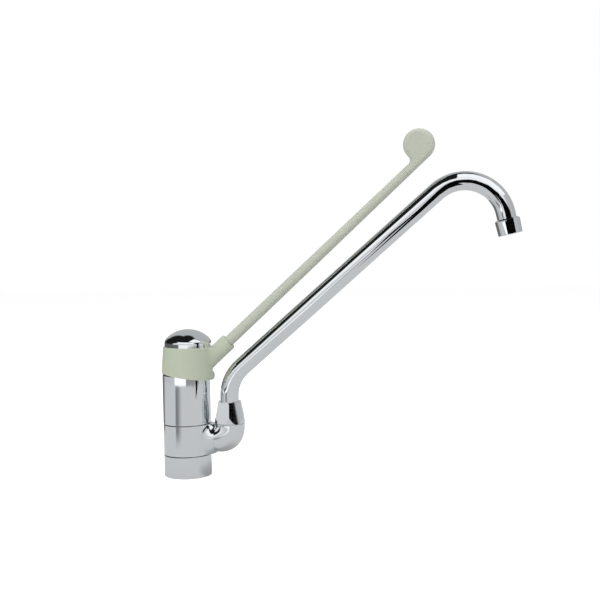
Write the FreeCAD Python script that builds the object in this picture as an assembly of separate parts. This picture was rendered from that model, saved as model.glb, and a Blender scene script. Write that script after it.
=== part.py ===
import FreeCAD, Part
import math
import os

# Single-lever deck mixer with a long swivelling tube spout and an elbow-operated lever.
# Lengths are in millimetres. The origin is the centre of the base, where it meets the deck.
# +Z is up and +X is the side that the spout and the lever point to when the valve is closed.

Vector = FreeCAD.Vector
UP = Vector(0, 0, 1)
ACROSS = Vector(0, 1, 0)

# Fits
running_gap = 0.05          # radial play of a part that turns in another
push_gap = 0.02             # radial play of a part that is pushed home and stays
slide_gap = 0.05            # play between flat faces that slide on each other
free_gap = 0.3              # space round a moving part that touches nothing

# Body column, from the deck upwards
body_radius = 23.5
base_height = 21.2
slip_ring_thickness = 0.45
swivel_height = 30.0
upper_body_height = 46.8
crown_overhang = 1.0        # ball-shaped top about the lever pivot, outside the body's face
crown_height = 5.0          # above the body's top
edge_round = 0.5            # broken edges of the turned brass parts
base_edge_round = 1.3
swivel_wall = 5.0           # from the body's face to the brass spigot that the swivel ring turns on
base_thread_step = 1.5      # the lower end of the spigot is thinner, and screws into the base ring
o_ring_cord = 2.0
o_ring_margin = 3.6         # from the end of the swivel ring to the middle of each O-ring
water_groove_height = 11.0
water_groove_depth = 3.5
gasket_setback = 1.7        # from the body's face
gasket_width = 2.6
gasket_thickness = 2.0
slip_ring_setback = 0.6     # from the body's face

# Water ways and fixings in the underside
port_radius = 9.6           # distance of the two inlets from the body axis
port_angle = 62.0           # each side of +X
inlet_bore_radius = 3.4
inlet_thread_radius = 4.5   # M10 x 1 for the flexible hoses
inlet_thread_depth = 12.0
outlet_offset = 7.5         # mixed-water port, towards -X
outlet_bore_radius = 3.8
stud_thread_radius = 3.4    # M8 fixing stud
stud_thread_depth = 14.0
stud_offset = 11.5

# Swivel ring with its arm and spout seat
arm_radius = 13.5
arm_rise = 15.75            # arm axis above the bottom of the swivel ring
spout_offset = 43.3         # spout riser from the body axis
seat_radius = 14.55
seat_lip = 0.4
elbow_heel_radius = 22.3    # rounded underside of the elbow, seen from the side
elbow_heel_back = 8.2       # heel centre, back from the riser axis
elbow_heel_rise = 8.1       # heel centre, above the arm axis
elbow_crook_gap = 0.35      # from the crook of the elbow to every section
elbow_sections = 5
arm_bore_radius = 8.0
nipple_radius = 11.4
nipple_height = 9.3
root_blend = 12.0           # hollow round between the arm and the ring

# Spout
tube_radius = 9.1
tube_wall = 1.0
tube_socket_depth = 6.5     # how far the tube reaches down into the nipple
riser_length = 27.3         # above the swivel ring
lower_bend_radius = 38.0
run_rise = 41.07            # degrees above level
run_length = 254.3
upper_bend_radius = 39.3
outlet_lean = 12.3          # degrees off plumb, outwards
drop_length = 13.3          # straight end of the tube below the upper bend
spout_seal_thickness = 1.4
ferrule_height = 1.6
collar_step = 2.1           # how far the seal and ferrule stand out from the tube

# Spout nut
nut_height = 21.0
nut_gap = 0.3               # between the seat and the nut
nut_bottom_flats = 30.0
nut_top_flats = 22.0
nut_turn = 8.0              # degrees past the place where a corner faces -Y
nut_bottom_trim = 15.1      # radius of the turned chamfer at the bottom
nut_trim_angle = 6.0        # degrees from the nut's axis
nut_top_trim = 12.2
nut_tube_gap = 0.15         # radial room for the tube
nut_top_trim_height = 8.0   # from the widest place of the turned form to the top

# Outlet
fitting_flange_radius = 11.75
fitting_flange_start = 5.9  # below the end of the upper bend
fitting_flange_length = 2.2
fitting_chamfer = 1.4
fitting_thread_radius = 10.6
shell_end_radius = 11.25
shell_end_round = 0.6
shell_length = 13.0
shell_lip_radius = 9.4
shell_lip_length = 1.1
shell_lip_round = 0.3
washer_thickness = 1.8
washer_inner_radius = 8.2
screen_thickness = 0.4
insert_radius = 10.0
jet_radius = 0.7
jet_pitch = 2.6

# Cartridge, 35 mm across
cartridge_radius = 17.5
cartridge_play = 0.2        # radial room in its pocket
cavity_depth = 39.0
base_lift = 0.3             # the seals hold the cartridge base this far off the floor
base_flange_height = 3.2
base_plug_height = 3.5
housing_bore_radius = 15.3
seal_width = 1.6
seal_depth = 1.7
seal_proud = 0.2            # how far the upper seals stand out of the base
fixed_disc_thickness = 3.6
fixed_disc_port_step = 0.4  # its ports are narrower than the bores by this much, in radius
moving_disc_radius = 11.5
moving_disc_thickness = 4.0
mixing_pocket_depth = 2.0
mixing_pocket_half_width = 6.8
mixing_pocket_shift = 0.8   # towards +X from the outlet port
carrier_plate_thickness = 2.2
carrier_block_height = 5.5
carrier_block_half_length = 7.5
carrier_block_half_width = 6.5
guide_flange_radius = 15.0
guide_roof = 1.1
guide_barrel_radius = 10.9
guide_barrel_height = 13.9
guide_slot_half_length = 8.2
housing_roof = 3.8
neck_height = 7.0
neck_wall = 2.05
nut_thread_step = 1.2       # outside the cartridge's pocket
nut_thread_depth = 11.5
retaining_nut_height = 9.0
nut_notch_width = 4.0
nut_notch_depth = 2.0
locating_peg_radius = 1.2
locating_peg_length = 1.5

# Lever pivot and travel
pivot_height = 33.0         # above the cartridge floor
pin_radius = 1.5
pin_half_length = 9.5
lever_lift = 25.0           # degrees from closed to fully open
handle_droop = 1.0          # the closed handle leans towards the spout
spindle_width = 8.0
spindle_top = 20.5          # above the pivot
spindle_square_drop = 8.5
spindle_arm = 13.0          # pivot to the ball that drives the disc
ball_radius = 3.0
spindle_neck_radius = 2.1

# Handle: collar, dome and hub, measured from the pivot along the leaning handle
collar_shift = 1.7          # top of the collar, back from the spindle
collar_top_overhang = 1.0   # outside the body's face
collar_top = 35.0
hem_shift = 0.6             # bottom of the collar, forward of the spindle
hem_overhang = 1.9          # outside the body's face
hem_slope = 9.0             # degrees, dropping towards the lever
hem_lift = 0.3              # above the body's top, on the body axis
collar_rim_round = 0.7
collar_wall = 2.4
sweep_gap = 0.4             # between the collar and the body's crown as it tips
web_height = 23.5
web_thickness = 2.3
dome_inset = 0.4            # inside the body's face
dome_apex = 52.2
dome_cap_radius = 30.0
dome_shoulder_round = 8.0
dome_seat_drop = 3.0
dome_wall = 1.6
heel_radius = 8.0           # rounded heel of the collar under the lever socket
heel_overhang = 3.0         # outside the hem
heel_height = 8.6
heel_foot_round = 2.2
heel_top_round = 4.4
heel_blend = 3.0            # hollow round between the heel and the collar
hub_inset = 3.2             # inside the body's face
hub_flange_thickness = 3.4
hub_boss_radius = 8.5
hub_boss_drop = 9.5
hub_cap = 3.0
hub_arm_radius = 6.3
hub_arm_start = 25.0
hub_arm_end = 36.0
hub_screw_radius = 2.5
hub_screw_head_radius = 4.2
hub_screw_head_height = 3.0
hub_screw_length = 11.0
hub_screw_socket_radius = 1.5
hub_screw_socket_depth = 2.0
collar_screw_radius = 1.95
collar_screw_head_radius = 3.4
collar_screw_head_height = 2.2
collar_screw_circle = 14.5
collar_screw_bite = 2.6

# Lever stick, measured from the pivot along the stick
stick_rise = 42.48          # degrees above level when closed
socket_start = 20.0
socket_end = 59.2
socket_root_radius = 8.5
socket_end_radius = 8.3
socket_end_round = 0.9
socket_blend = 6.0          # hollow round between the socket and the collar
stick_root_radius = 5.5
stick_tip_radius = 4.35
rod_radius = 2.5
rod_start = 28.0
rod_end = 290.0
paddle_distance = 324.3
paddle_radius = 15.2
paddle_thickness = 9.6
paddle_edge_round = 4.0
paddle_neck = 27.0          # where the neck starts, back from the paddle's centre
paddle_crook_round = 5.0

# Radii that follow from the sizes above
spigot_radius = body_radius - swivel_wall
base_thread_radius = spigot_radius - base_thread_step
gasket_outer_radius = body_radius - gasket_setback
gasket_inner_radius = gasket_outer_radius - gasket_width
slip_ring_outer_radius = body_radius - slip_ring_setback
crown_radius = body_radius + crown_overhang
cartridge_bore_radius = cartridge_radius + cartridge_play
nut_thread_radius = cartridge_bore_radius + nut_thread_step
collar_top_radius = body_radius + collar_top_overhang
hem_radius = body_radius + hem_overhang
dome_radius = body_radius - dome_inset
hub_radius = body_radius - hub_inset
heel_reach = hem_radius + heel_overhang
clear_reach = heel_reach + hem_radius       # farther out than any face of the collar

# Heights that follow
swivel_bottom = base_height + slip_ring_thickness + slide_gap
swivel_top = swivel_bottom + swivel_height
upper_bottom = swivel_top + slide_gap + slip_ring_thickness
body_top = upper_bottom + upper_body_height
arm_axis = swivel_bottom + arm_rise
swivel_bore_radius = spigot_radius + running_gap
floor = body_top - cavity_depth
base_bottom = floor + base_lift
base_shoulder = base_bottom + base_flange_height
base_top = base_shoulder + base_plug_height
fixed_disc_bottom = base_top + seal_proud
fixed_disc_top = fixed_disc_bottom + fixed_disc_thickness
moving_disc_bottom = fixed_disc_top + slide_gap
moving_disc_top = moving_disc_bottom + moving_disc_thickness
carrier_plate_top = moving_disc_top + carrier_plate_thickness
carrier_top = carrier_plate_top + carrier_block_height
guide_bottom = carrier_plate_top + free_gap
guide_ceiling = carrier_top + free_gap
guide_shoulder = guide_ceiling + guide_roof
guide_top = guide_shoulder + guide_barrel_height
housing_ceiling = guide_shoulder + slide_gap
housing_shoulder = housing_ceiling + housing_roof
neck_top = housing_shoulder + neck_height
neck_bore_radius = guide_barrel_radius + running_gap
neck_radius = neck_bore_radius + neck_wall
pivot = floor + pivot_height
carriage_travel = spindle_arm * (math.sin(math.radians(lever_lift - handle_droop))
                                 + math.sin(math.radians(handle_droop)))
carriage_rest = -carriage_travel / 2
crown_start = pivot + math.sqrt(crown_radius ** 2 - body_radius ** 2)
crown_top = body_top + crown_height
web_top = web_height + web_thickness
hub_top = spindle_top + hub_cap
stick_root = hub_arm_end + 2 * free_gap
paddle_offset = paddle_radius - stick_tip_radius    # the stick's underside runs on into the paddle

# The leaning frame of the handle, the line of the stick and the sloping hem of the collar
handle_frame = FreeCAD.Placement(Vector(0, 0, pivot), FreeCAD.Rotation(ACROSS, handle_droop))
stick_frame = FreeCAD.Placement(Vector(0, 0, pivot), FreeCAD.Rotation(ACROSS, 90 - stick_rise))
hem_frame = FreeCAD.Placement(Vector(0, 0, body_top + hem_lift), FreeCAD.Rotation(ACROSS, hem_slope))


def placed(shape, frame):
    """The shape carried from its own frame into the part's frame."""
    moved = shape.copy()
    moved.Placement = frame.multiply(moved.Placement)
    return moved


def cylinder(radius, low, high, x=0.0, y=0.0):
    """A round bar along Z."""
    return Part.makeCylinder(radius, high - low, Vector(x, y, low), UP)


def ring(outer, inner, low, high, x=0.0, y=0.0):
    """A plain ring along Z."""
    return cylinder(outer, low, high, x, y).cut(cylinder(inner, low - 1, high + 1, x, y))


def block(x_low, x_high, half_width, low, high):
    """A box that is centred on the XZ plane."""
    corner = Vector(x_low, -half_width, low)
    return Part.makeBox(x_high - x_low, 2 * half_width, high - low, corner)


def cross_bar(radius, half_length, height):
    """A round bar along Y, through the Z axis."""
    return Part.makeCylinder(radius, 2 * half_length, Vector(0, -half_length, height), ACROSS)


def rounded_outline(corners):
    """A closed wire in the XZ plane. Each corner is (x, z) or (x, z, round)."""
    count = len(corners)
    points = [Vector(corner[0], 0, corner[1]) for corner in corners]
    rounds = [corner[2] if len(corner) > 2 else 0.0 for corner in corners]
    starts = []
    ends = []
    arcs = []
    for i in range(count):
        here = points[i]
        back = (points[i - 1] - here).normalize()
        ahead = (points[(i + 1) % count] - here).normalize()
        half_angle = back.getAngle(ahead) / 2
        if rounds[i] > 0:
            reach = rounds[i] / math.tan(half_angle)
            to_centre = (back + ahead).normalize() * (rounds[i] / math.sin(half_angle))
            middle = here + to_centre - to_centre.normalize() * rounds[i]
            starts.append(here + back * reach)
            ends.append(here + ahead * reach)
            arcs.append(Part.Arc(starts[i], middle, ends[i]).toShape())
        else:
            starts.append(here)
            ends.append(here)
            arcs.append(None)
    edges = []
    for i in range(count):
        if arcs[i]:
            edges.append(arcs[i])
        following = starts[(i + 1) % count]
        if ends[i].distanceToPoint(following) > 1e-6:
            edges.append(Part.LineSegment(ends[i], following).toShape())
    return Part.Wire(edges)


def lathe(corners):
    """A solid of revolution about Z. The corners are (radius, height) or (radius, height, round)."""
    return Part.Face(rounded_outline(corners)).revolve(Vector(0, 0, 0), UP, 360)


def cylinder_along(start, direction, radius, length):
    """A round bar from a point, along any direction."""
    return Part.makeCylinder(radius, length, start, direction)


def blended(shape, branch, radius):
    """Two bodies fused, with a hollow round along the line where they meet."""
    both = shape.fuse(branch).removeSplitter()
    seam = []
    for edge in both.Edges:
        middle = Part.Vertex(edge.valueAt((edge.FirstParameter + edge.LastParameter) / 2))
        if max(shape.distToShape(middle)[0], branch.distToShape(middle)[0]) < 1e-4:
            seam.append(edge)
    return both.makeFillet(radius, seam)


def port_places():
    """Centres of the two inlets and of the mixed-water port, with the bore radius of each."""
    angle = math.radians(port_angle)
    x = port_radius * math.cos(angle)
    y = port_radius * math.sin(angle)
    return [(x, y, inlet_bore_radius), (x, -y, inlet_bore_radius),
            (-outlet_offset, 0.0, outlet_bore_radius)]


def save(name, shape):
    """Write one node, and stop if it isn't a sound solid."""
    if not shape.isValid() or shape.Volume <= 0:
        raise ValueError(name + " is not a sound solid")
    shape.exportStep("parts/" + name + ".step")
    box = shape.optimalBoundingBox(False)
    print("%-20s %d solid, volume %9.1f, z %6.1f to %6.1f"
          % (name, len(shape.Solids), shape.Volume, box.ZMin, box.ZMax))


# ---- Body column ----

def base_ring():
    """Chromed brass ring that screws on to the spigot and holds the swivel ring up."""
    bore = base_thread_radius + running_gap
    shape = lathe([(bore, 0), (body_radius, 0, base_edge_round), (body_radius, base_height, edge_round),
                   (bore, base_height)])
    groove = ring(gasket_outer_radius, gasket_inner_radius, -1, gasket_thickness)
    return shape.cut(groove)


def base_gasket():
    """Rubber ring in the groove under the base."""
    return ring(gasket_outer_radius - push_gap, gasket_inner_radius + push_gap, 0, gasket_thickness)


def o_ring_heights():
    return [swivel_bottom + o_ring_margin, swivel_top - o_ring_margin]


def body_core():
    """Brass casting: the spigot, the upper body with its crown, the cartridge pocket and the water ways."""
    shape = lathe([(0, 0), (base_thread_radius, 0), (base_thread_radius, base_height),
                   (spigot_radius, base_height), (spigot_radius, upper_bottom),
                   (body_radius, upper_bottom, edge_round), (body_radius, crown_top), (0, crown_top)])
    ball = Part.makeSphere(crown_radius, Vector(0, 0, pivot))
    shape = shape.common(ball.fuse(cylinder(body_radius + 1, -1, crown_start)))
    thread_bore = nut_thread_radius + running_gap
    shape = shape.cut(cylinder(cartridge_bore_radius, floor, crown_top + 1))
    shape = shape.cut(cylinder(thread_bore, body_top - nut_thread_depth, crown_top + 1))
    for height in o_ring_heights():
        half = o_ring_cord / 2 + push_gap
        shape = shape.cut(ring(spigot_radius + 1, spigot_radius - o_ring_cord, height - half, height + half))
    groove_half = water_groove_height / 2
    shape = shape.cut(ring(spigot_radius + 1, spigot_radius - water_groove_depth,
                           arm_axis - groove_half, arm_axis + groove_half))
    inlets = port_places()[:2]
    for x, y, radius in inlets:
        shape = shape.cut(cylinder(radius, -1, floor + 1, x, y))
        shape = shape.cut(cylinder(inlet_thread_radius, -1, inlet_thread_depth, x, y))
        peg_bore = locating_peg_radius + running_gap
        shape = shape.cut(cylinder(peg_bore, floor - locating_peg_length - slide_gap, floor + 1, -x, y))
    shape = shape.cut(cylinder(outlet_bore_radius, arm_axis, floor + 1, -outlet_offset))
    shape = shape.cut(Part.makeSphere(outlet_bore_radius, Vector(-outlet_offset, 0, arm_axis)))
    cross_way = cylinder_along(Vector(-outlet_offset, 0, arm_axis), Vector(-1, 0, 0),
                               outlet_bore_radius, spigot_radius)
    shape = shape.cut(cross_way)
    return shape.cut(cylinder(stud_thread_radius, -1, stud_thread_depth, -stud_offset))


def slip_ring(bottom):
    """Thin low-friction ring, the dark seam between two chromed parts."""
    return ring(slip_ring_outer_radius, spigot_radius + running_gap, bottom, bottom + slip_ring_thickness)


def o_ring(height):
    cord = o_ring_cord / 2
    return Part.makeTorus(spigot_radius - cord, cord, Vector(0, 0, height), UP)


# ---- Swivel ring ----

def elbow_section(turn):
    """Centre and radius of one round section of the elbow, turned from level arm to riser."""
    angle = math.radians(turn)
    x = math.sin(angle)
    z = -math.cos(angle)
    crook = elbow_crook()
    heel = Vector(spout_offset - elbow_heel_back, 0, arm_axis + elbow_heel_rise)
    away = crook - heel
    along = away.x * x + away.z * z
    reach = -along + math.sqrt(along * along - away.Length * away.Length + elbow_heel_radius ** 2)
    radius = (reach - elbow_crook_gap) / 2
    blend = turn / 90
    if turn in (0, 90):
        radius = arm_radius * (1 - blend) + seat_radius * blend
    centre = crook + Vector(x, 0, z) * (elbow_crook_gap + radius)
    return centre, radius, Vector(math.cos(angle), 0, math.sin(angle))


def elbow_crook():
    """The inner corner that all sections of the elbow turn about."""
    return Vector(spout_offset - seat_radius - elbow_crook_gap, 0, arm_axis + arm_radius + elbow_crook_gap)


def swivel_ring():
    """Chromed brass casting that turns about the spigot and carries the spout."""
    level = Vector(1, 0, 0)
    blank = cylinder(body_radius, swivel_bottom - 2 * root_blend, swivel_top + 2 * root_blend)
    arm = cylinder_along(Vector(spigot_radius / 2, 0, arm_axis), level, arm_radius,
                         body_radius + 2 * root_blend)
    faced = block(-body_radius - 1, spout_offset - elbow_heel_back, body_radius + 1,
                  swivel_bottom, swivel_top)
    shape = blended(blank, arm, root_blend).common(faced)
    rims = [edge for edge in shape.Edges if edge.BoundBox.ZLength < 1e-6
            and edge.BoundBox.XMax < spout_offset - elbow_heel_back - 0.1]
    shape = shape.makeFillet(edge_round, rims)
    sections = []
    for i in range(elbow_sections):
        centre, radius, facing = elbow_section(90 * i / (elbow_sections - 1))
        sections.append(Part.Wire(Part.Circle(centre, facing, radius).toShape()))
    elbow = Part.makeLoft(sections, True, False)
    seat_bottom = elbow_crook().z
    seat = lathe([(0, seat_bottom), (seat_radius, seat_bottom), (seat_radius, seat_top(), edge_round),
                  (0, seat_top())])
    seat.translate(Vector(spout_offset, 0, 0))
    nipple = cylinder(nipple_radius, seat_bottom, nipple_top(), spout_offset)
    shape = shape.fuse([elbow, seat, nipple]).removeSplitter()
    bore = cylinder_along(Vector(0, 0, arm_axis), level, arm_bore_radius, spout_offset)
    corner = Part.makeSphere(arm_bore_radius, Vector(spout_offset, 0, arm_axis))
    riser_bore = cylinder(arm_bore_radius, arm_axis, nipple_top() + 1, spout_offset)
    tube_bore = cylinder(tube_radius + running_gap, tube_foot(), nipple_top() + 1, spout_offset)
    axle_bore = cylinder(swivel_bore_radius, swivel_bottom - 1, swivel_top + 1)
    return shape.cut([bore, corner, riser_bore, tube_bore, axle_bore])


# ---- Spout ----

def seat_top():
    return swivel_top + seat_lip


def nipple_top():
    return seat_top() + nipple_height


def tube_foot():
    return nipple_top() - tube_socket_depth


def spout_seal():
    """Rubber ring round the tube, pressed between the nipple and the ferrule."""
    low = nipple_top()
    high = low + spout_seal_thickness
    return ring(tube_radius + collar_step, tube_radius + push_gap, low, high, spout_offset)


def tube_ferrule():
    """Brass ring brazed to the tube, which the nut pulls down."""
    low = nipple_top() + spout_seal_thickness
    return ring(tube_radius + collar_step, tube_radius + push_gap, low, low + ferrule_height, spout_offset)


def bend_start():
    return swivel_top + riser_length


def spout_tube():
    """Bent tube: riser, lower bend, long run, upper bend and the drop to the outlet."""
    foot = Vector(spout_offset, 0, tube_foot())
    heading = Vector(0, 0, 1)
    section = Part.Face([Part.Wire(Part.Circle(foot, heading, tube_radius).toShape()),
                         Part.Wire(Part.Circle(foot, heading, tube_radius - tube_wall).toShape())])
    section.validate()
    steps = [("straight", bend_start() - tube_foot(), 0), ("bend", lower_bend_radius, 90 - run_rise),
             ("straight", run_length, 0), ("bend", upper_bend_radius, 90 + run_rise - outlet_lean),
             ("straight", drop_length, 0)]
    pieces = []
    place = FreeCAD.Placement(foot, FreeCAD.Rotation())
    for kind, size, turn in steps:
        start = section.copy()
        start.Placement = place.multiply(FreeCAD.Placement(-foot, FreeCAD.Rotation()))
        forward = place.Rotation.multVec(UP)
        inward = place.Rotation.multVec(Vector(1, 0, 0))
        if kind == "straight":
            pieces.append(start.extrude(forward * size))
            place = FreeCAD.Placement(place.Base + forward * size, place.Rotation)
        else:
            centre = place.Base + inward * size
            pieces.append(start.revolve(centre, ACROSS, turn))
            turned = FreeCAD.Rotation(ACROSS, turn)
            place = FreeCAD.Placement(centre + turned.multVec(place.Base - centre),
                                      turned.multiply(place.Rotation))
    return pieces[0].fuse(pieces[1:]).removeSplitter(), place


def hexagon(flats, height):
    """A level hexagon about the spout riser, with a corner near the front."""
    corner_radius = flats / math.sqrt(3)
    points = []
    for i in range(6):
        angle = math.radians(60 * i - 90 + nut_turn)
        points.append(Vector(spout_offset + corner_radius * math.cos(angle),
                             corner_radius * math.sin(angle), height))
    return points


def spout_nut():
    """Chromed brass union nut, a tapered hexagon with turned chamfers."""
    low = seat_top() + nut_gap
    high = low + nut_height
    bottom = hexagon(nut_bottom_flats, low)
    top = hexagon(nut_top_flats, high)
    faces = [Part.Face(Part.makePolygon(bottom + bottom[:1])), Part.Face(Part.makePolygon(top + top[:1]))]
    for i in range(6):
        j = (i + 1) % 6
        faces.append(Part.Face(Part.makePolygon([bottom[i], bottom[j], top[j], top[i], bottom[i]])))
    shape = Part.Solid(Part.Shell(faces))
    trim_height = nut_height - nut_top_trim_height
    trim_radius = nut_bottom_trim + trim_height * math.tan(math.radians(nut_trim_angle))
    turned = lathe([(0, low), (nut_bottom_trim, low), (trim_radius, low + trim_height),
                    (nut_top_trim, high), (0, high)])
    turned.translate(Vector(spout_offset, 0, 0))
    thread_bore = nipple_radius + running_gap
    thread_top = nipple_top() + spout_seal_thickness + ferrule_height + slide_gap
    shape = shape.common(turned)
    shape = shape.cut(cylinder(thread_bore, low - 1, thread_top, spout_offset))
    return shape.cut(cylinder(tube_radius + nut_tube_gap, low, high + 1, spout_offset))


# ---- Outlet, measured down the tube from the end of the upper bend ----

flange_end = fitting_flange_start + fitting_flange_length
shell_start = flange_end + slide_gap
shell_end = shell_start + shell_length
washer_start = drop_length + slide_gap
screen_start = washer_start + washer_thickness
insert_start = screen_start + screen_thickness
insert_end = shell_end - shell_lip_length


def tube_end_fitting():
    """Threaded brass end brazed on to the tube, with a chamfered flange that shows."""
    bore = tube_radius + push_gap
    chamfer_radius = fitting_flange_radius - fitting_chamfer
    return lathe([(bore, fitting_flange_start), (chamfer_radius, fitting_flange_start),
                  (fitting_flange_radius, fitting_flange_start + fitting_chamfer),
                  (fitting_flange_radius, flange_end), (fitting_thread_radius, flange_end),
                  (fitting_thread_radius, drop_length), (bore, drop_length)])


def aerator_shell():
    """Chromed screw cap that holds the washer, screen and insert on the tube end."""
    bore = fitting_thread_radius + running_gap
    insert_bore = insert_radius + running_gap
    return lathe([(bore, shell_start), (fitting_flange_radius, shell_start),
                  (shell_end_radius, shell_end, shell_end_round),
                  (shell_lip_radius, shell_end, shell_lip_round), (shell_lip_radius, insert_end),
                  (insert_bore, insert_end), (insert_bore, insert_start), (bore, insert_start)])


def aerator_washer():
    return ring(fitting_thread_radius, washer_inner_radius, washer_start, screen_start)


def jet_grid(radius, low, high):
    """Round holes on a triangular grid, as many as lie clear inside the radius."""
    holes = []
    rows = int(radius / (jet_pitch * math.sqrt(3) / 2))
    for row in range(-rows, rows + 1):
        y = row * jet_pitch * math.sqrt(3) / 2
        columns = int(2 * radius / jet_pitch)
        for column in range(-columns, columns + 1):
            x = (column + 0.5 * (row % 2)) * jet_pitch
            if math.hypot(x, y) + jet_radius < radius:
                holes.append(cylinder(jet_radius, low - 1, high + 1, x, y))
    return holes


def aerator_screen():
    """Thin perforated steel disc."""
    plate = cylinder(fitting_thread_radius, screen_start, insert_start)
    return plate.cut(jet_grid(washer_inner_radius, screen_start, insert_start))


def aerator_insert():
    """Plastic insert whose holes break the water up."""
    body = cylinder(insert_radius, insert_start, insert_end)
    return body.cut(jet_grid(shell_lip_radius, insert_start, insert_end))


# ---- Cartridge ----

def cartridge_base():
    """Plastic base with a port for each water way and a seal pocket at both ends of each."""
    shape = cylinder(cartridge_radius, base_bottom, base_shoulder)
    shape = shape.fuse(cylinder(housing_bore_radius - 2 * push_gap, base_shoulder, base_top))
    for x, y, radius in port_places():
        pocket = radius + seal_width + push_gap
        shape = shape.cut(cylinder(radius, base_bottom - 1, base_top + 1, x, y))
        shape = shape.cut(cylinder(pocket, base_bottom - 1, base_bottom + seal_depth, x, y))
        shape = shape.cut(cylinder(pocket, base_top - seal_depth, base_top + 1, x, y))
    for x, y, radius in port_places()[:2]:
        shape = shape.fuse(cylinder(locating_peg_radius, floor - locating_peg_length, base_shoulder, -x, y))
    return shape.removeSplitter()


def port_seals():
    """Three rubber rings between the cartridge base and the floor of its pocket."""
    rings = [ring(radius + seal_width, radius, floor, base_bottom + seal_depth, x, y)
             for x, y, radius in port_places()]
    return Part.makeCompound(rings)


def disc_seals():
    """Three rubber rings between the cartridge base and the fixed disc."""
    rings = [ring(radius + seal_width, radius, base_top - seal_depth, fixed_disc_bottom, x, y)
             for x, y, radius in port_places()]
    return Part.makeCompound(rings)


def fixed_disc():
    """Ceramic disc with the three ports."""
    shape = cylinder(housing_bore_radius - 2 * push_gap, fixed_disc_bottom, fixed_disc_top)
    for x, y, radius in port_places():
        port = radius - fixed_disc_port_step
        shape = shape.cut(cylinder(port, fixed_disc_bottom - 1, fixed_disc_top + 1, x, y))
    return shape


def moving_disc():
    """Ceramic disc with the mixing pocket on its underside."""
    shape = cylinder(moving_disc_radius, moving_disc_bottom, moving_disc_top, carriage_rest)
    pocket_end = mixing_pocket_shift - outlet_offset - outlet_bore_radius
    pocket = block(pocket_end, mixing_pocket_shift, mixing_pocket_half_width,
                   moving_disc_bottom - 1, moving_disc_bottom + mixing_pocket_depth)
    return shape.cut(pocket)


def disc_carrier():
    """Plastic slider on the moving disc, with the hole that the spindle's ball works in."""
    shape = cylinder(moving_disc_radius, moving_disc_top, carrier_plate_top, carriage_rest)
    slider = block(carriage_rest - carrier_block_half_length, carriage_rest + carrier_block_half_length,
                   carrier_block_half_width, moving_disc_top, carrier_top)
    ball_x = -spindle_arm * math.sin(math.radians(handle_droop))
    ball_low = pivot - spindle_arm - ball_radius - free_gap
    ball_hole = cylinder(ball_radius + free_gap, ball_low, carrier_top + 1, ball_x)
    return shape.fuse(slider).removeSplitter().cut(ball_hole)


def rotating_guide():
    """Plastic guide that turns in the housing neck and carries the pivot pin and the slider."""
    shape = cylinder(guide_flange_radius, guide_bottom, guide_shoulder)
    shape = shape.fuse(cylinder(guide_barrel_radius, guide_bottom, guide_top)).removeSplitter()
    channel = block(-guide_flange_radius - 1, guide_flange_radius + 1, carrier_block_half_width + slide_gap,
                    guide_bottom - 1, guide_ceiling)
    slot = block(-guide_slot_half_length, guide_slot_half_length, spindle_width / 2 + slide_gap,
                 guide_bottom, guide_top + 1)
    return shape.cut([channel, slot, cross_bar(pin_radius + push_gap, guide_barrel_radius + 1, pivot)])


def pivot_pin():
    return cross_bar(pin_radius, pin_half_length, pivot)


def cartridge_housing():
    """Plastic housing over the discs, with the neck that the guide turns in."""
    return lathe([(housing_bore_radius, base_shoulder), (cartridge_radius, base_shoulder),
                  (cartridge_radius, housing_shoulder), (neck_radius, housing_shoulder),
                  (neck_radius, neck_top), (neck_bore_radius, neck_top),
                  (neck_bore_radius, housing_ceiling), (housing_bore_radius, housing_ceiling)])


def retaining_nut():
    """Brass ring nut that screws into the body and clamps the cartridge."""
    top = housing_shoulder + retaining_nut_height
    shape = ring(nut_thread_radius, neck_radius + free_gap, housing_shoulder, top)
    notch_floor = top - nut_notch_depth
    for i in range(6):
        notch = block(neck_radius, nut_thread_radius + 1, nut_notch_width / 2, notch_floor, top + 1)
        notch.rotate(Vector(0, 0, 0), UP, 60 * i)
        shape = shape.cut(notch)
    return shape


# ---- Handle ----

def spindle():
    """Steel lever of the cartridge: square shank, pivot hole, neck and ball."""
    half = spindle_width / 2
    shank = block(-half, half, half, -spindle_square_drop, spindle_top)
    neck = cylinder(spindle_neck_radius, -spindle_arm, -spindle_square_drop + 1)
    ball = Part.makeSphere(ball_radius, Vector(0, 0, -spindle_arm))
    shape = shank.fuse([neck, ball]).removeSplitter()
    shape = shape.cut(cross_bar(pin_radius + running_gap, spindle_width, 0))
    screw_hole = cylinder(hub_screw_radius + push_gap, hub_top - hub_screw_length - 1, spindle_top + 1)
    return placed(shape.cut(screw_hole), handle_frame)


def lever_hub():
    """Die-cast hub on the square of the spindle, with an arm that takes the stick's core."""
    flange_low = web_height - hub_flange_thickness - slide_gap
    shape = cylinder(hub_radius, flange_low, web_height - slide_gap)
    shape = shape.fuse(cylinder(hub_boss_radius, flange_low - hub_boss_drop, hub_top))
    shape = placed(shape, handle_frame)
    shape = shape.fuse(placed(cylinder(hub_arm_radius, hub_arm_start, hub_arm_end), stick_frame))
    half = spindle_width / 2 + push_gap
    square = block(-half, half, half, 0, spindle_top + push_gap)
    screw_hole = cylinder(hub_screw_radius + running_gap, spindle_top, hub_top + 1)
    shape = shape.cut([placed(square, handle_frame), placed(screw_hole, handle_frame)])
    screw_foot = web_height - collar_screw_bite - 1
    for screw in collar_screw_bars(collar_screw_radius + push_gap, screw_foot, web_height):
        shape = shape.cut(screw)
    rod_hole = placed(cylinder(rod_radius + push_gap, rod_start - 1, hub_arm_end + 1), stick_frame)
    return shape.cut(rod_hole).removeSplitter()


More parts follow.
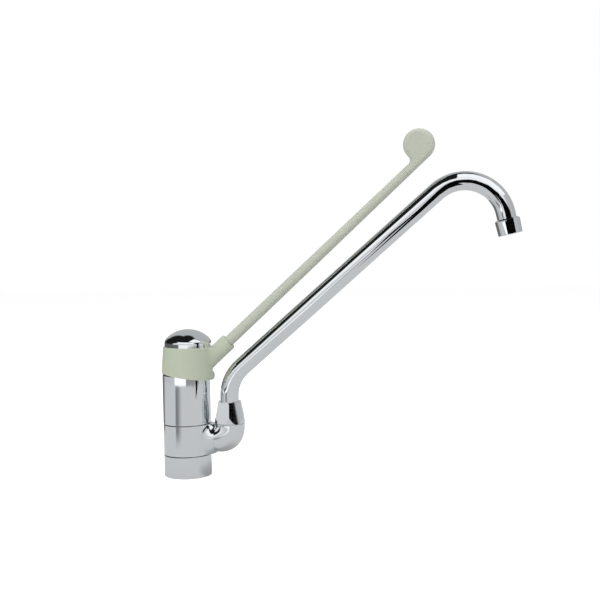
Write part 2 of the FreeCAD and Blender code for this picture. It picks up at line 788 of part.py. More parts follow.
def hub_screw():
    """Screw down the middle of the hub into the spindle."""
    shank = cylinder(hub_screw_radius, hub_top - hub_screw_length, hub_top)
    head_top = hub_top + hub_screw_head_height
    head = cylinder(hub_screw_head_radius, hub_top, head_top)
    socket = cylinder(hub_screw_socket_radius, head_top - hub_screw_socket_depth, head_top + 1)
    return placed(shank.fuse(head).removeSplitter().cut(socket), handle_frame)


def collar_screw_bars(radius, low, high):
    """Bars at the three collar screws, in the part's frame."""
    bars = []
    for turn in (90, 180, 270):
        angle = math.radians(turn)
        bar = cylinder(radius, low, high, collar_screw_circle * math.cos(angle),
                       collar_screw_circle * math.sin(angle))
        bars.append(placed(bar, handle_frame))
    return bars


def collar_screws():
    """Three screws that hold the collar's web down on the hub."""
    shanks = collar_screw_bars(collar_screw_radius, web_height - collar_screw_bite, web_top)
    heads = collar_screw_bars(collar_screw_head_radius, web_top, web_top + collar_screw_head_height)
    return Part.makeCompound([shank.fuse(head).removeSplitter() for shank, head in zip(shanks, heads)])


def collar_cone(shrink, low, high):
    """The collar's tapering outside, or the same form shrunk by a wall, between two level faces."""
    slope_x = (collar_shift - hem_shift) / collar_top
    slope_r = (collar_top_radius - hem_radius) / collar_top
    axis = Vector(slope_x, 0, 1)
    spare = 1 + hem_radius * abs(slope_x)
    start = low - spare
    length = (high - low + 2 * spare) * axis.Length
    foot_radius = hem_radius + slope_r * start - shrink
    head_radius = hem_radius + slope_r * (high + spare) - shrink
    cone = Part.makeCone(foot_radius, head_radius, length,
                         Vector(hem_shift + slope_x * start, 0, start), axis)
    return cone.common(block(-clear_reach, clear_reach, clear_reach, low, high))


def lever_collar():
    """Moulded collar over the top of the body, with the socket that the stick is pushed into."""
    outside = collar_cone(0, 0, collar_top)
    rim = [edge for edge in outside.Edges if abs(edge.BoundBox.ZMin - collar_top) < 0.01]
    outside = placed(outside.makeFillet(collar_rim_round, rim), handle_frame)
    socket = placed(lathe([(0, socket_start), (socket_root_radius, socket_start),
                           (socket_end_radius, socket_end, socket_end_round), (0, socket_end)]), stick_frame)
    heel = lathe([(0, 0), (heel_radius, 0, heel_foot_round), (heel_radius, heel_height, heel_top_round),
                  (0, heel_height)])
    heel.translate(Vector(heel_reach - heel_radius, 0, 0))
    shape = blended(blended(outside, socket, socket_blend), placed(heel, hem_frame), heel_blend)
    below_hem = placed(block(-clear_reach, clear_reach, clear_reach, -clear_reach, 0), hem_frame)
    sweep = Part.makeSphere(crown_radius + sweep_gap, Vector(0, 0, pivot))
    dome_seat_floor = collar_top - dome_seat_drop
    cavity = placed(collar_cone(collar_wall, -1, dome_seat_floor), handle_frame)
    dome_seat = cylinder(dome_radius + running_gap, dome_seat_floor, collar_top + clear_reach, collar_shift)
    hollow = cavity.fuse([sweep, placed(dome_seat, handle_frame)])
    web = collar_cone(collar_wall / 2, web_height, web_top).cut(
        cylinder(hub_boss_radius + free_gap, 0, web_top + 1))
    shape = shape.cut(hollow).fuse(placed(web, handle_frame)).cut(below_hem)
    arm_pocket = cylinder(hub_arm_radius + free_gap, socket_start - hub_arm_radius, hub_arm_end + free_gap)
    stick_bore = cylinder(stick_root_radius + running_gap, socket_start, socket_end + stick_root_radius)
    shape = shape.cut([placed(arm_pocket, stick_frame), placed(stick_bore, stick_frame)])
    for screw in collar_screw_bars(collar_screw_radius + free_gap, web_height - 1, web_top + 1):
        shape = shape.cut(screw)
    return shape.removeSplitter()


def dome_body(shrink, low):
    """The dome's solid form, a low cap of a sphere with a rounded shoulder, or the same form less a wall."""
    ball = Part.makeSphere(dome_cap_radius - shrink, Vector(0, 0, dome_apex - dome_cap_radius))
    form = cylinder(dome_radius - shrink, low, dome_apex).common(ball)
    top_edge = [edge for edge in form.Edges if edge.Closed and edge.BoundBox.ZMin > low + 1]
    return form.makeFillet(dome_shoulder_round - shrink, top_edge)


def dome_cap():
    """Chromed dome that closes the top of the collar."""
    low = collar_top - dome_seat_drop
    shape = dome_body(0, low).cut(dome_body(dome_wall, low - 1))
    shape.translate(Vector(collar_shift, 0, 0))
    return placed(shape, handle_frame)


def lever_stick():
    """Moulded stick with its round paddle, bored for the steel core."""
    neck_start = paddle_distance - paddle_neck
    half = paddle_thickness / 2
    shank = Part.makeCone(stick_root_radius, stick_tip_radius, paddle_distance - stick_root,
                          Vector(0, 0, stick_root), UP)
    crook_x = stick_tip_radius + paddle_crook_round
    crook_drop = math.sqrt((paddle_radius + paddle_crook_round) ** 2 - (paddle_offset - crook_x) ** 2)
    crook_centre = Vector(-crook_x, 0, paddle_distance - crook_drop)
    centre = Vector(-paddle_offset, 0, paddle_distance)
    to_paddle = (centre - crook_centre).normalize()
    foot_near = Vector(stick_tip_radius, 0, neck_start)
    foot_far = Vector(-stick_tip_radius, 0, neck_start)
    low_side = centre + Vector(paddle_radius, 0, 0)
    meet_paddle = crook_centre + to_paddle * paddle_crook_round
    meet_stick = crook_centre + Vector(paddle_crook_round, 0, 0)
    half_way = (to_paddle + Vector(1, 0, 0)).normalize()
    far_side = centre + Vector(-1, 0, 1).normalize() * paddle_radius
    edges = [Part.LineSegment(foot_near, low_side).toShape(),
             Part.Arc(low_side, far_side, meet_paddle).toShape(),
             Part.Arc(meet_paddle, crook_centre + half_way * paddle_crook_round, meet_stick).toShape(),
             Part.LineSegment(meet_stick, foot_far).toShape(),
             Part.LineSegment(foot_far, foot_near).toShape()]
    outline = Part.Face(Part.Wire(edges))
    outline.translate(Vector(0, -half, 0))
    slab = outline.extrude(Vector(0, paddle_thickness, 0))
    rims = [edge for edge in slab.Edges if edge.BoundBox.YLength < 1e-6
            and edge.BoundBox.ZMax > neck_start + 1e-3]
    paddle = slab.makeFillet(paddle_edge_round, rims)
    bore = cylinder(rod_radius + push_gap, stick_root - 1, rod_end + slide_gap)
    return placed(shank.fuse(paddle).removeSplitter().cut(bore), stick_frame)


def stick_core():
    """Steel rod that stiffens the stick and screws into the hub."""
    return placed(cylinder(rod_radius, rod_start, rod_end), stick_frame)


def main():
    os.makedirs("parts", exist_ok=True)
    tube, tube_end = spout_tube()
    outlet_start = tube_end.multiply(FreeCAD.Placement(Vector(0, 0, -drop_length), FreeCAD.Rotation()))
    lower_o_ring, upper_o_ring = o_ring_heights()
    nodes = {
        "base_ring": base_ring(),
        "base_gasket": base_gasket(),
        "body_core": body_core(),
        "lower_slip_ring": slip_ring(base_height),
        "upper_slip_ring": slip_ring(upper_bottom - slip_ring_thickness),
        "lower_o_ring": o_ring(lower_o_ring),
        "upper_o_ring": o_ring(upper_o_ring),
        "swivel_ring": swivel_ring(),
        "spout_seal": spout_seal(),
        "tube_ferrule": tube_ferrule(),
        "spout_nut": spout_nut(),
        "spout_tube": tube,
        "tube_end_fitting": placed(tube_end_fitting(), outlet_start),
        "aerator_washer": placed(aerator_washer(), outlet_start),
        "aerator_screen": placed(aerator_screen(), outlet_start),
        "aerator_insert": placed(aerator_insert(), outlet_start),
        "aerator_shell": placed(aerator_shell(), outlet_start),
        "cartridge_base": cartridge_base(),
        "port_seals": port_seals(),
        "disc_seals": disc_seals(),
        "fixed_disc": fixed_disc(),
        "cartridge_housing": cartridge_housing(),
        "retaining_nut": retaining_nut(),
        "rotating_guide": rotating_guide(),
        "pivot_pin": pivot_pin(),
        "moving_disc": moving_disc(),
        "disc_carrier": disc_carrier(),
        "spindle": spindle(),
        "lever_hub": lever_hub(),
        "hub_screw": hub_screw(),
        "collar_screws": collar_screws(),
        "lever_collar": lever_collar(),
        "dome_cap": dome_cap(),
        "stick_core": stick_core(),
        "lever_stick": lever_stick(),
    }
    for name, shape in nodes.items():
        save(name, shape)
    outlet = outlet_start.multVec(Vector(0, 0, shell_end))
    print("pivot height %.3f, carriage travel %.4f, outlet at %.3f, %.3f"
          % (pivot, carriage_travel, outlet.x, outlet.z))


main()
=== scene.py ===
import math
import bmesh
import bpy
from mathutils import Matrix, Vector


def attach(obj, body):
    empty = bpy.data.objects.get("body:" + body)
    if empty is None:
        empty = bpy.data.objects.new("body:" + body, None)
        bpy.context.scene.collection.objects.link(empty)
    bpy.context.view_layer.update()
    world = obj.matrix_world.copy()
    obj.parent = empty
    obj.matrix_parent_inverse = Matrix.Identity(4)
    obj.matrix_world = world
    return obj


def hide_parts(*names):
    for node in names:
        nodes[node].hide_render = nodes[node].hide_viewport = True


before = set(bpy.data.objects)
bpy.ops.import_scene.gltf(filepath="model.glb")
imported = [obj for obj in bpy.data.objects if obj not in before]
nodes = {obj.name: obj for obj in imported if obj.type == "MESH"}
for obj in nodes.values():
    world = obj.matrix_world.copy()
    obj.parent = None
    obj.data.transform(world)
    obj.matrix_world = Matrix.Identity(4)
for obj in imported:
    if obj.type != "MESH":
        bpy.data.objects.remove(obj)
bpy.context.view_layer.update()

scene = bpy.context.scene
scene.view_settings.view_transform = "Standard"


# ---- Camera ----
# The photograph looks almost level at the tap, a little from its right, with a slight roll.
# The place and the angles are fitted to the outlines of the tap in the 600 by 600 picture.
look_right = math.radians(7.0)
look_down = math.radians(2.3993)
roll = math.radians(0.95)
camera_place = Vector((0.223078, -0.879368, 0.210))
picture_width_px = 600.0
focal_length_px = 909.0
sensor_width_mm = 36.0
back = Vector((math.sin(look_right), -math.cos(look_right), 0))
level = Vector((math.cos(look_right), math.sin(look_right), 0))
ahead = -back * math.cos(look_down) + Vector((0, 0, -math.sin(look_down)))
above = -back * math.sin(look_down) + Vector((0, 0, math.cos(look_down)))
across = level * math.cos(roll) - above * math.sin(roll)
upward = level * math.sin(roll) + above * math.cos(roll)
camera = bpy.data.objects.new("camera", bpy.data.cameras.new("camera"))
scene.collection.objects.link(camera)
camera.data.sensor_width = sensor_width_mm
camera.data.lens = focal_length_px / picture_width_px * sensor_width_mm
camera.data.clip_start = 0.02
turned = Matrix((across, upward, -ahead)).transposed()
camera.matrix_world = Matrix.Translation(camera_place) @ turned.to_4x4()
scene.camera = camera


# ---- Table ----
# A wide pale table top under the tap. Its own light lifts it to plain white for the camera. For the
# chrome its glow is a painted reflection: a mid grey with one soft painted dark streak, a painted
# shadow by the tap's foot and, from 0.8 m out where the table still goes on, painted bright and dark
# stretches.
def node_tree(material):
    """An empty node tree with an output."""
    material.use_nodes = True
    tree = material.node_tree
    tree.nodes.clear()
    return tree, tree.nodes.new("ShaderNodeOutputMaterial")


def link(tree, source, target):
    tree.links.new(source, target)


def fill_socket(tree, socket, value):
    """Put a plain number on a socket, or link it to another socket."""
    if isinstance(value, (int, float)):
        socket.default_value = value
    else:
        link(tree, value, socket)


def maths(tree, operation, *values):
    """A math node on sockets or plain numbers."""
    node = tree.nodes.new("ShaderNodeMath")
    node.operation = operation
    for socket, value in zip(node.inputs, values):
        fill_socket(tree, socket, value)
    return node.outputs[0]


def rise(tree, value, span):
    """Goes smoothly from 0 to 1 over a span of the value."""
    node = tree.nodes.new("ShaderNodeMapRange")
    node.interpolation_type = "SMOOTHSTEP"
    node.inputs["From Min"].default_value, node.inputs["From Max"].default_value = span
    link(tree, value, node.inputs["Value"])
    return node.outputs[0]


def fall(tree, value, span):
    """Goes smoothly from 1 to 0 over a span of the value."""
    return maths(tree, "SUBTRACT", 1, rise(tree, value, span))


def both(tree, first, second):
    """Where both masks hold."""
    return maths(tree, "MULTIPLY", first, second)


def fade(tree, factor, first, second):
    """Goes from the first value to the second as the factor rises."""
    node = tree.nodes.new("ShaderNodeMix")
    link(tree, factor, node.inputs["Factor"])
    fill_socket(tree, node.inputs["A"], first)
    fill_socket(tree, node.inputs["B"], second)
    return node.outputs["Result"]


def direction_of(tree, axes):
    """The direction round the tap, in radians: 0 to the front and more to the right."""
    return maths(tree, "ARCTAN2", axes.outputs["X"], maths(tree, "MULTIPLY", axes.outputs["Y"], -1))


def seen_through(rays):
    """Holds for the camera's rays, also through glass."""
    return maths(rays.id_data, "MAXIMUM", rays.outputs["Is Camera Ray"], rays.outputs["Is Transmission Ray"])


def grey_colour(tree, grey):
    """The same value in red, green and blue."""
    colour = tree.nodes.new("ShaderNodeCombineColor")
    for channel in ("Red", "Green", "Blue"):
        link(tree, grey, colour.inputs[channel])
    return colour.outputs[0]


def flat_sheet(name, width, tall, place, upright=False):
    """A flat sheet, level or stood on its edge, that belongs to the studio."""
    sheet = bmesh.new()
    bmesh.ops.create_grid(sheet, x_segments=1, y_segments=1, size=0.5)
    bmesh.ops.scale(sheet, verts=sheet.verts, vec=(width, tall, 1))
    if upright:
        quarter_turn = Matrix.Rotation(math.pi / 2, 3, "X")
        bmesh.ops.rotate(sheet, verts=sheet.verts, cent=(0, 0, 0), matrix=quarter_turn)
    bmesh.ops.translate(sheet, verts=sheet.verts, vec=place)
    data = bpy.data.meshes.new(name)
    sheet.to_mesh(data)
    sheet.free()
    piece = bpy.data.objects.new(name, data)
    scene.collection.objects.link(piece)
    return piece


table_width = 12.0
paper_white = 0.82          # what the lamps fall on, for the camera
paper_in_chrome = 0.16      # the paper's colour in the chrome, darker, under the painted reflection grey
camera_lift = 0.62
# Painted reflection: the grey of the table's glow that only the chrome sees.
painted_reflection_grey = 0.49
# Painted reflection: a soft dark streak in the table's glow for the chrome, at the front left.
streak_grey = 0.06
streak_starts = (-0.78, -0.66)
streak_ends = (-0.62, -0.10)
streak_away = (0.15, 0.30)
# Painted shadow: the table's glow for the chrome is darker within 0.1 m of the tap, on its right and behind.
foot_shadow_grey = 0.28
foot_shadow_side = (0.8, 1.4)
foot_shadow_away = (0.04, 0.10)
# Where the painted far stretches begin; the table itself goes on.
painted_edge_away = (0.78, 0.80)
# Painted reflection from 0.8 m out: bright, dark and grey stretches round the tap, then dark and bright past
# 1.3 m.
floor_left_grey = 0.45
floor_left_ends = (-0.82, -0.75)
floor_bright = 1.1
floor_dark = 0.16
floor_dark_starts = (0.12, 0.24)
floor_right_grey = 0.45
floor_right_starts = (1.25, 1.35)
far_floor = (1.2, 1.4)
far_dark = 0.03
far_bright = 0.95
far_bright_starts = (-0.66, -0.50)
# Painted reflection: a dark patch behind the tap at its left.
rear_left_grey = 0.05
rear_left_side = (-2.2, -1.9)
rear_left_away = (0.22, 0.30)

table = flat_sheet("table_top", table_width, table_width, (0, 0, 0))
table_paper = bpy.data.materials.new("table_paper")
tree, output = node_tree(table_paper)
rays = tree.nodes.new("ShaderNodeLightPath")
mirrored = rays.outputs["Is Glossy Ray"]
place = tree.nodes.new("ShaderNodeTexCoord")
axes = tree.nodes.new("ShaderNodeSeparateXYZ")
link(tree, place.outputs["Object"], axes.inputs[0])
side = direction_of(tree, axes)
length = tree.nodes.new("ShaderNodeVectorMath")
length.operation = "LENGTH"
link(tree, place.outputs["Object"], length.inputs[0])
away = length.outputs["Value"]
# Painted reflection: the dark streak, towards the front left and from 0.15 m out.
streak = both(tree, rise(tree, side, streak_starts), fall(tree, side, streak_ends))
streak = both(tree, streak, rise(tree, away, streak_away))
# Painted shadow: darker glow near the foot of the tap, on its right and behind, seen only in the chrome.
foot_shadow = both(tree, fall(tree, away, foot_shadow_away), rise(tree, side, foot_shadow_side))
grey = fade(tree, streak, painted_reflection_grey, streak_grey)
grey = fade(tree, foot_shadow, grey, foot_shadow_grey)
# Painted reflection from 0.8 m out, though the table goes on: grey at the left, bright in front, dark to the
# front right and grey at the right; past 1.3 m, dark at the left and bright elsewhere.
floor = fade(tree, rise(tree, side, floor_left_ends), floor_left_grey, floor_bright)
floor = fade(tree, rise(tree, side, floor_dark_starts), floor, floor_dark)
floor = fade(tree, rise(tree, side, floor_right_starts), floor, floor_right_grey)
far = fade(tree, rise(tree, side, far_bright_starts), far_dark, far_bright)
floor = fade(tree, rise(tree, away, far_floor), floor, far)
grey = fade(tree, rise(tree, away, painted_edge_away), grey, floor)
# Painted reflection: a dark patch on the table behind the tap at its left, from 0.3 m out.
rear_left = both(tree, fall(tree, side, rear_left_side), rise(tree, away, rear_left_away))
grey = fade(tree, rear_left, grey, rear_left_grey)
paper = tree.nodes.new("ShaderNodeBsdfDiffuse")
link(tree, grey_colour(tree, fade(tree, mirrored, paper_white, paper_in_chrome)), paper.inputs["Color"])
glow = tree.nodes.new("ShaderNodeEmission")
lift = maths(tree, "MULTIPLY", seen_through(rays), camera_lift)
# The glow: a plain lift to white for the camera, and the painted reflection for the chrome.
link(tree, fade(tree, mirrored, lift, grey), glow.inputs["Strength"])
total = tree.nodes.new("ShaderNodeAddShader")
link(tree, paper.outputs[0], total.inputs[0])
link(tree, glow.outputs[0], total.inputs[1])
link(tree, total.outputs[0], output.inputs["Surface"])
table.data.materials.append(table_paper)


# ---- Room ----
# A white room for the camera, with an even fill. For the chrome it has a low white wall in front,
# a dark gap over that wall and at its left, and a dim wall behind. Heights are angles too.
wall_foot = 0.66
wall_top = 1.15
wall_climb = (0.0, 0.50)
wall_right_grey = 0.58
wall_right_starts = (0.65, 0.85)
wall_left_grey = 0.12
wall_left_ends = (-1.25, -1.02)
gap_black = 0.012
front_gap = (0.56, 0.66)
rear_foot = 0.10
rear_grey = 0.52
rear_climb = (0.04, 0.16)
rear_gap = (1.15, 1.30)
front_to_rear = (-0.05, 0.10)
left_gap_slant = 2.2
left_gap_upright_from = 0.40
left_gap_side = (-0.85, -0.62)
left_gap_rear = (-2.45, -2.25)
left_gap_foot = (0.02, 0.10)
room_white = 1.0
room_fill = 0.45

world = bpy.data.worlds.new("studio")
scene.world = world
world.use_nodes = True
tree = world.node_tree
tree.nodes.clear()
output = tree.nodes.new("ShaderNodeOutputWorld")
direction = tree.nodes.new("ShaderNodeTexCoord")
axes = tree.nodes.new("ShaderNodeSeparateXYZ")
link(tree, direction.outputs["Generated"], axes.inputs[0])
side = direction_of(tree, axes)
height = maths(tree, "ARCSINE", axes.outputs["Z"])
wall = fade(tree, rise(tree, height, wall_climb), wall_foot, wall_top)
wall = fade(tree, rise(tree, side, wall_right_starts), wall, wall_right_grey)
wall = fade(tree, rise(tree, side, wall_left_ends), wall_left_grey, wall)
front = fade(tree, rise(tree, height, front_gap), wall, gap_black)
rear = fade(tree, rise(tree, height, rear_climb), rear_foot, rear_grey)
rear = fade(tree, rise(tree, height, rear_gap), rear, gap_black)
grey = fade(tree, rise(tree, axes.outputs["Y"], front_to_rear), front, rear)
below = maths(tree, "MAXIMUM", maths(tree, "SUBTRACT", left_gap_upright_from, height), 0)
slanted = maths(tree, "ADD", side, maths(tree, "MULTIPLY", below, left_gap_slant))
left_gap = both(tree, fall(tree, slanted, left_gap_side), rise(tree, side, left_gap_rear))
left_gap = both(tree, left_gap, rise(tree, height, left_gap_foot))
grey = fade(tree, left_gap, grey, gap_black)
in_chrome = tree.nodes.new("ShaderNodeBackground")
link(tree, grey_colour(tree, grey), in_chrome.inputs["Color"])
plain = tree.nodes.new("ShaderNodeBackground")
plain.inputs["Color"].default_value = (1, 1, 1, 1)
rays = tree.nodes.new("ShaderNodeLightPath")
link(tree, fade(tree, seen_through(rays), room_fill, room_white), plain.inputs["Strength"])
choose = tree.nodes.new("ShaderNodeMixShader")
link(tree, rays.outputs["Is Glossy Ray"], choose.inputs["Fac"])
link(tree, plain.outputs[0], choose.inputs[1])
link(tree, in_chrome.outputs[0], choose.inputs[2])
link(tree, choose.outputs[0], output.inputs["Surface"])


# ---- Lamps ----
# Three plain lamps with wide diffusers light the plastics and the table. The chrome doesn't show
# them, because it mirrors the room.
def soft_box(name, place, aim, width, tall, power):
    """A square lamp with a diffuser, aimed at a point."""
    data = bpy.data.lights.new(name, "AREA")
    data.shape = "RECTANGLE"
    data.size = width
    data.size_y = tall
    data.energy = power
    lamp = bpy.data.objects.new(name, data)
    scene.collection.objects.link(lamp)
    lamp.location = place
    lamp.rotation_mode = "QUATERNION"
    lamp.rotation_quaternion = (Vector(aim) - Vector(place)).to_track_quat("-Z", "Y")
    lamp.visible_glossy = False


soft_box("lamp_left", (-0.9, -0.9, 1.0), (0.12, 0, 0.15), 0.8, 0.8, 9.0)
soft_box("lamp_right", (1.2, -0.6, 0.9), (0.12, 0, 0.15), 0.7, 0.9, 5.0)
soft_box("lamp_above", (0.1, 0.1, 1.5), (0.12, 0, 0.1), 1.0, 1.0, 9.0)


# ---- Cards ----
# Three black cards in front of the spout and one lit diffuser over its outlet, which only the
# chrome mirrors. They draw the dark and bright bands along the bend, the nut and the outlet.
def for_chrome_only(card, shader, material):
    """Give a card its one shader, and hide it from the camera and the lamps."""
    leaves, end = node_tree(material)
    surface = leaves.nodes.new(shader)
    link(leaves, surface.outputs[0], end.inputs["Surface"])
    card.data.materials.append(material)
    card.visible_camera = False
    card.visible_diffuse = False
    card.visible_shadow = False
    return surface


card_distance = -0.2
card_black = (0.004, 0.004, 0.004, 1)
for name, left, right, bottom, top in (("flag_aerator", 0.205, 0.56, 0.180, 0.232),
                                       ("flag_bend", 0.262, 0.56, 0.232, 0.318),
                                       ("flag_nut", 0.300, 0.458, 0.030, 0.180)):
    middle = ((left + right) / 2, card_distance, (bottom + top) / 2)
    card = flat_sheet(name, right - left, top - bottom, middle, upright=True)
    matt = for_chrome_only(card, "ShaderNodeBsdfDiffuse", bpy.data.materials.new(name + "_black"))
    matt.inputs["Color"].default_value = card_black

diffuser = flat_sheet("lamp_over_outlet", 0.80, 0.60, (0.632, -0.33, 0.75))
light = for_chrome_only(diffuser, "ShaderNodeEmission", bpy.data.materials.new("lit_diffuser"))
light.inputs["Strength"].default_value = 1.15


# ---- Base ring ----
# Turned brass ring on the deck, polished and chromed. It screws on to the foot of the body and
# holds the swivel ring up.
def handling_marks():
    """Shader group: faint wipe marks and fine scratches, for roughness and height."""
    group = bpy.data.node_groups.new("handling_marks", "ShaderNodeTree")
    for name, value in (("Scale", 60.0), ("Base Roughness", 0.05), ("Smear", 0.05), ("Scratch", 0.2)):
        socket = group.interface.new_socket(name=name, in_out="INPUT", socket_type="NodeSocketFloat")
        socket.default_value = value
    for name in ("Roughness", "Height"):
        group.interface.new_socket(name=name, in_out="OUTPUT", socket_type="NodeSocketFloat")
    enter = group.nodes.new("NodeGroupInput")
    leave = group.nodes.new("NodeGroupOutput")
    place = group.nodes.new("ShaderNodeTexCoord")
    smear = group.nodes.new("ShaderNodeTexNoise")
    smear.inputs["Detail"].default_value = 3.0
    link(group, place.outputs["Object"], smear.inputs["Vector"])
    link(group, enter.outputs["Scale"], smear.inputs["Scale"])
    patch = rise(group, smear.outputs["Fac"], (0.45, 0.75))
    rougher = maths(group, "MULTIPLY_ADD", patch, enter.outputs["Smear"], enter.outputs["Base Roughness"])
    link(group, rougher, leave.inputs["Roughness"])
    stretch = group.nodes.new("ShaderNodeMapping")
    stretch.inputs["Scale"].default_value = (1.0, 1.0, 14.0)
    link(group, place.outputs["Object"], stretch.inputs["Vector"])
    scratch = group.nodes.new("ShaderNodeTexNoise")
    scratch.inputs["Scale"].default_value = 900.0
    scratch.inputs["Detail"].default_value = 2.0
    link(group, stretch.outputs[0], scratch.inputs["Vector"])
    depth = maths(group, "MULTIPLY", scratch.outputs["Fac"], enter.outputs["Scratch"])
    link(group, depth, leave.inputs["Height"])
    return group


marks = handling_marks()


def finish(name, colour, metal, rough, smear, scratch, scale=60.0, tint=0.03):
    """A material with wipe marks, fine scratches and a faint drift of colour."""
    material = bpy.data.materials.new(name)
    tree, output = node_tree(material)
    shader = tree.nodes.new("ShaderNodeBsdfPrincipled")
    shader.inputs["Metallic"].default_value = metal
    worn = tree.nodes.new("ShaderNodeGroup")
    worn.node_tree = marks
    worn.inputs["Scale"].default_value = scale
    worn.inputs["Base Roughness"].default_value = rough
    worn.inputs["Smear"].default_value = smear
    worn.inputs["Scratch"].default_value = scratch
    link(tree, worn.outputs["Roughness"], shader.inputs["Roughness"])
    place = tree.nodes.new("ShaderNodeTexCoord")
    cloud = tree.nodes.new("ShaderNodeTexNoise")
    cloud.inputs["Scale"].default_value = 35.0
    link(tree, place.outputs["Object"], cloud.inputs["Vector"])
    drift = tree.nodes.new("ShaderNodeMix")
    drift.data_type = "RGBA"
    drift.inputs["A"].default_value = (*(c * (1 - tint) for c in colour), 1)
    drift.inputs["B"].default_value = (*(min(1, c * (1 + tint)) for c in colour), 1)
    link(tree, cloud.outputs["Fac"], drift.inputs["Factor"])
    link(tree, drift.outputs["Result"], shader.inputs["Base Color"])
    bump = tree.nodes.new("ShaderNodeBump")
    bump.inputs["Strength"].default_value = 0.15
    bump.inputs["Distance"].default_value = 0.0001
    link(tree, worn.outputs["Height"], bump.inputs["Height"])
    link(tree, bump.outputs[0], shader.inputs["Normal"])
    link(tree, shader.outputs[0], output.inputs["Surface"])
    return material


def polished(name, body, material, sharp_from=30.0):
    """A polished copy of a CAD node: its triangles joined up, smooth except over real edges."""
    copy = bmesh.new()
    copy.from_mesh(nodes[name].data)
    bmesh.ops.remove_doubles(copy, verts=copy.verts, dist=1e-6)
    for face in copy.faces:
        face.smooth = True
    for edge in copy.edges:
        edge.smooth = edge.is_manifold and edge.calc_face_angle(0.0) < math.radians(sharp_from)
    data = bpy.data.meshes.new(name + "_polished")
    copy.to_mesh(data)
    copy.free()
    data.materials.append(material)
    piece = bpy.data.objects.new(name + "_polished", data)
    scene.collection.objects.link(piece)
    weigh = piece.modifiers.new("weigh_normals", "WEIGHTED_NORMAL")
    weigh.keep_sharp = True
    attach(piece, body)
    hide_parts(name)


chrome = finish("chrome_plate", (0.77, 0.80, 0.82), 1.0, 0.03, 0.03, 0.03)
polished("base_ring", "mixer_body", chrome)


# ---- Body ----
# Brass casting, turned and chromed above the swivel ring, where it shows up to the collar. Inside
# it are the cartridge's pocket and the water ways.
polished("body_core", "mixer_body", chrome)


# ---- Swivel ring ----
# Brass casting with the ring, the arm, the elbow and the seat of the spout in one, polished and
# chromed all over. It turns about the body between two slip rings.
polished("swivel_ring", "swivel_spout", chrome)


# ---- Spout nut ----
# Tapered hexagonal union nut of chromed brass with turned chamfers, screwed on to the seat of the
# spout. Its flat faces meet in real edges, so only small angles are smoothed.
polished("spout_nut", "swivel_spout", chrome, sharp_from=10.0)


# ---- Spout tube ----
# Drawn brass tube, bent at its foot and into the hook at its end, then polished and chromed. The
# union nut pulls it down by the ferrule that is brazed on inside.
polished("spout_tube", "swivel_spout", chrome)


# ---- Tube end fitting ----
# Threaded brass end with a chamfered flange, brazed on to the tube and chromed with it.
# The flange is the narrow ring that shows over the aerator.
polished("tube_end_fitting", "swivel_spout", chrome)


# ---- Aerator cap ----
# Turned and chromed brass cap that screws on to the end fitting. It holds the washer, the screen
# and the insert.
polished("aerator_shell", "swivel_spout", chrome)


# ---- Dome ----
# Chromed dome, a low cap with a rounded shoulder. It closes the top of the collar over the screws
# that hold the handle together.
polished("dome_cap", "lever", chrome)


# ---- Lever collar ----
# Moulded cap of pale grey-green plastic with a satin skin, screwed to the hub, with the socket
# for the stick and a rounded heel under it.
collar_skin = finish("collar_skin", (0.51, 0.56, 0.44), 0.0, 0.38, 0.08, 0.012)
polished("lever_collar", "lever", collar_skin)


# ---- Lever stick ----
# Long moulded stick with its round paddle in one piece, of the same plastic in a greyer batch,
# pushed over the steel core into the socket.
stick_skin = finish("stick_skin", (0.52, 0.545, 0.46), 0.0, 0.36, 0.08, 0.012, 45.0)
polished("lever_stick", "lever", stick_skin)


# ---- Slip rings ----
# Two thin black plastic rings that the swivel ring turns between. They show as dark seams in the
# chromed column.
def coat(names, material):
    """Give nodes of the CAD model their finish."""
    for name in names:
        mesh = nodes[name].data
        mesh.materials.clear()
        mesh.materials.append(material)


slip_skin = finish("slip_plastic_skin", (0.03, 0.03, 0.03), 0.0, 0.5, 0.1, 0.1)
coat(("lower_slip_ring", "upper_slip_ring"), slip_skin)


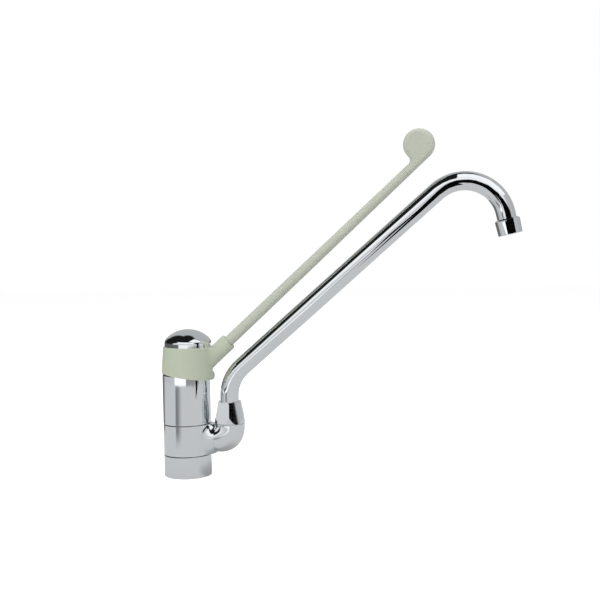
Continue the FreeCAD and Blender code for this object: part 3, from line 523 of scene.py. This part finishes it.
# ---- Rubber seals ----
# Moulded black rubber: the gasket on the deck, the O-rings of the swivel, the seals of the
# cartridge, the spout and the aerator. They are pressed into grooves and pockets.
rubber = finish("black_rubber_skin", (0.022, 0.022, 0.024), 0.0, 0.72, 0.15, 0.3, 90.0)
coat(("base_gasket", "lower_o_ring", "upper_o_ring", "port_seals", "disc_seals", "spout_seal",
      "aerator_washer"), rubber)


# ---- Plain brass ----
# Turned brass left bright: the ring nut that clamps the cartridge, and the ferrule brazed on to
# the foot of the tube.
brass = finish("turned_brass", (0.72, 0.52, 0.24), 1.0, 0.24, 0.12, 0.4, 80.0, 0.06)
coat(("retaining_nut", "tube_ferrule"), brass)


# ---- Steel pieces ----
# Stainless steel: the pivot pin, the spindle with its square shank and ball, the screws, the rod
# in the stick and the perforated screen of the aerator.
steel = finish("stainless_steel", (0.56, 0.55, 0.53), 1.0, 0.22, 0.12, 0.4, 120.0)
coat(("pivot_pin", "spindle", "hub_screw", "collar_screws", "stick_core", "aerator_screen"), steel)


# ---- Hub ----
# Zinc casting that joins the handle to the spindle, dull grey with the grain of the die. A screw
# down its middle holds it on the square of the spindle.
zinc = finish("cast_zinc", (0.42, 0.43, 0.44), 1.0, 0.42, 0.15, 0.6, 70.0, 0.06)
coat(("lever_hub",), zinc)


# ---- Cartridge ----
# Off-white glass-filled base and housing, blue slippery guide and carrier, and two lapped discs
# of pale ceramic. The retaining nut clamps it in the body.
shell_skin = finish("cartridge_skin", (0.78, 0.79, 0.78), 0.0, 0.42, 0.1, 0.1, 70.0)
guide_skin = finish("guide_skin", (0.10, 0.24, 0.48), 0.0, 0.34, 0.1, 0.1, 70.0)
ceramic = finish("lapped_ceramic", (0.82, 0.81, 0.78), 0.0, 0.12, 0.04, 0.02, 70.0, 0.02)
coat(("cartridge_base", "cartridge_housing"), shell_skin)
coat(("rotating_guide", "disc_carrier"), guide_skin)
coat(("fixed_disc", "moving_disc"), ceramic)


# ---- Aerator insert ----
# White acetal insert with its grid of small holes, which break the water up. It is set behind
# the screen in the aerator cap.
coat(("aerator_insert",), finish("white_acetal", (0.74, 0.74, 0.72), 0.0, 0.4, 0.1, 0.1, 90.0))
